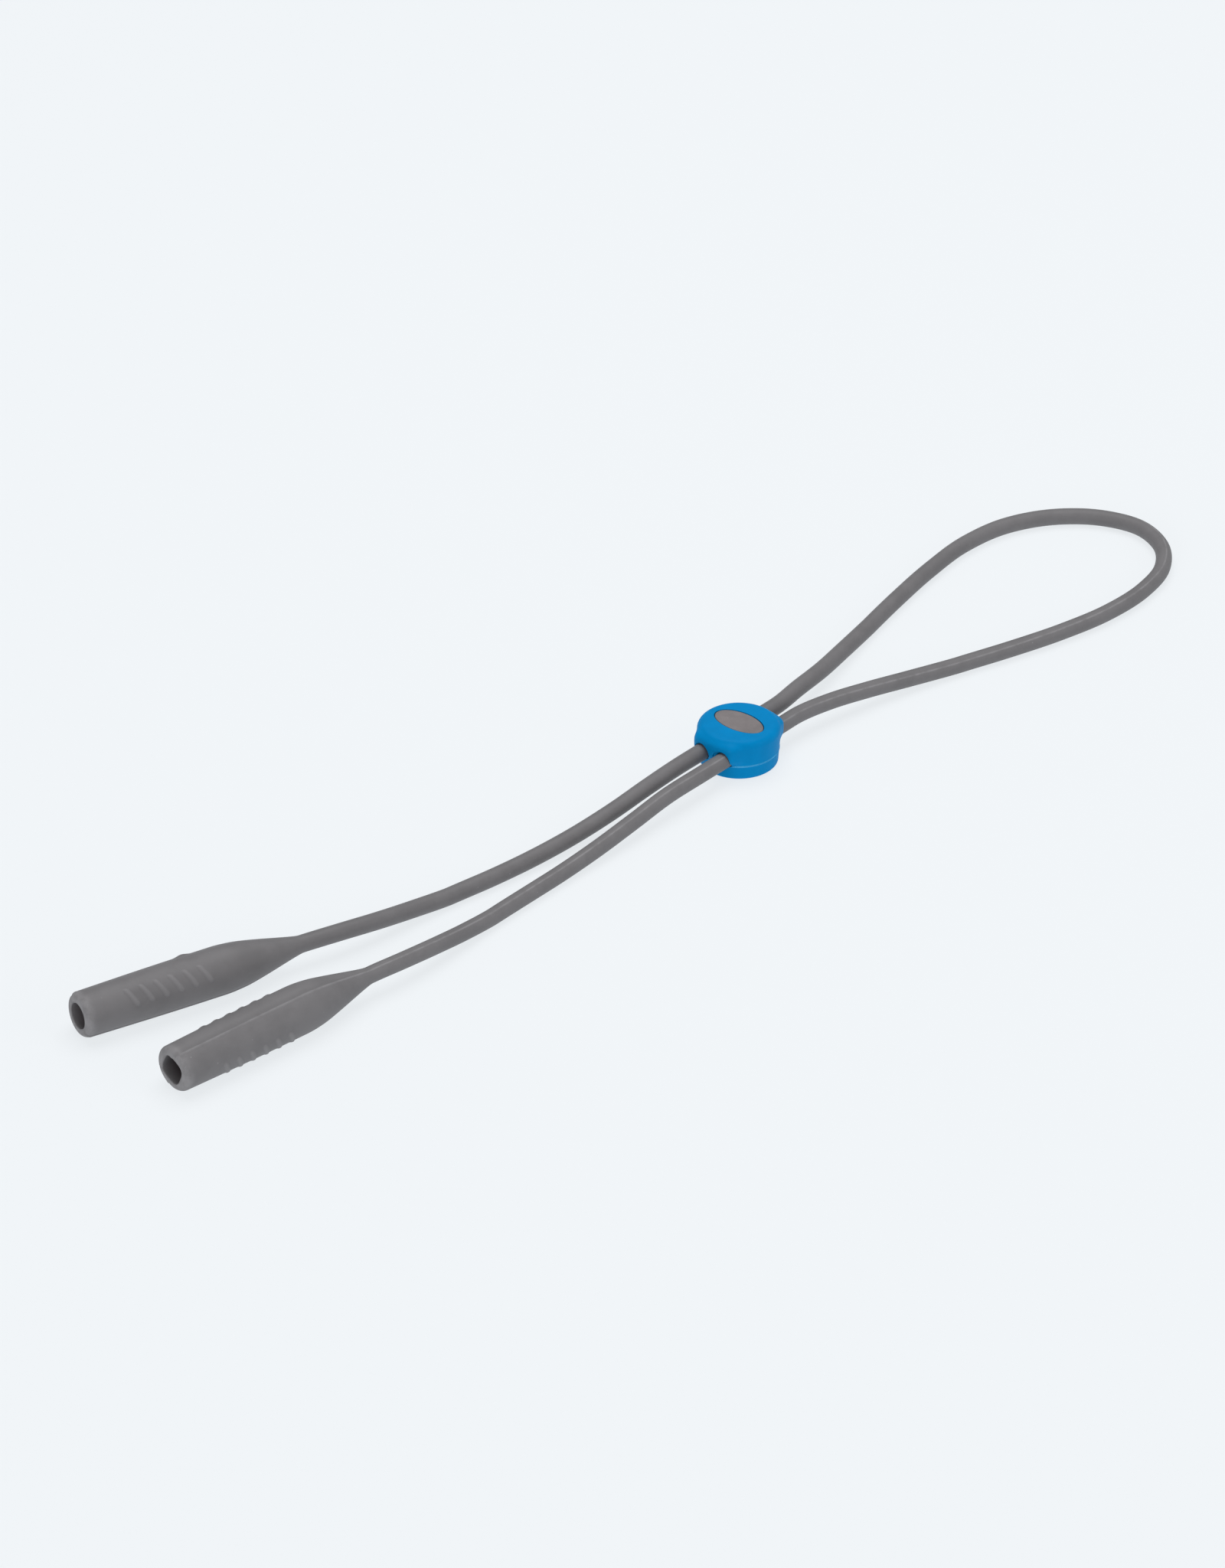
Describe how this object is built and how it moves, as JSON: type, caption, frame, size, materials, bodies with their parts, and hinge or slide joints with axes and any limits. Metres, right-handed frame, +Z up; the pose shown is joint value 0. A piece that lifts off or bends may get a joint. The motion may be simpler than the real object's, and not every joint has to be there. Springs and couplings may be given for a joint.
{
  "type": "eyeglass retainer strap",
  "caption": "Soft glasses strap: a round cord with a hollow temple sleeve at each end, doubled through a sliding bead that gathers it into a loop.",
  "frame": {"origin": "centre of the slider's underside, on the surface that the strap lies on", "axes": "+X along the slider's two cord passages towards the loop, +Y towards the left arm, +Z up"},
  "size_m": [0.2712, 0.0561, 0.009],
  "materials": {
    "grey_silicone": "moulded silicone, fine matte skin",
    "blue_silicone": "moulded silicone, smooth satin skin",
    "inlay_grey": "flush moulded inlay, satin"
  },
  "bodies": {
    "cord": {"loop_cord": "grey_silicone"},
    "slider": {"slider_upper_half": "blue_silicone", "slider_lower_half": "blue_silicone", "slider_inlay": "inlay_grey"},
    "left_arm": {"left_sleeve": "grey_silicone", "left_arm_cord": "grey_silicone"},
    "right_arm": {"right_sleeve": "grey_silicone", "right_arm_cord": "grey_silicone"}
  },
  "joints": [
    {"name": "slider_travel", "type": "slide", "parent": "cord", "child": "slider", "axis": [1, 0, 0], "range_m": [-0.025, 0.03], "deforming": ["loop_cord"]},
    {"name": "left_arm_swing", "type": "hinge", "parent": "cord", "child": "left_arm", "pos_m": [-0.074, 0.0079, 0.0016], "axis": [0, 0, -1], "range_deg": [-4, 45], "stiffness_Nm_per_rad": 0.001, "deforming": ["left_arm_cord"]},
    {"name": "right_arm_swing", "type": "hinge", "parent": "cord", "child": "right_arm", "pos_m": [-0.074, -0.0028, 0.0016], "axis": [0, 0, 1], "range_deg": [-4, 45], "stiffness_Nm_per_rad": 0.001, "deforming": ["right_arm_cord"]}
  ]
}
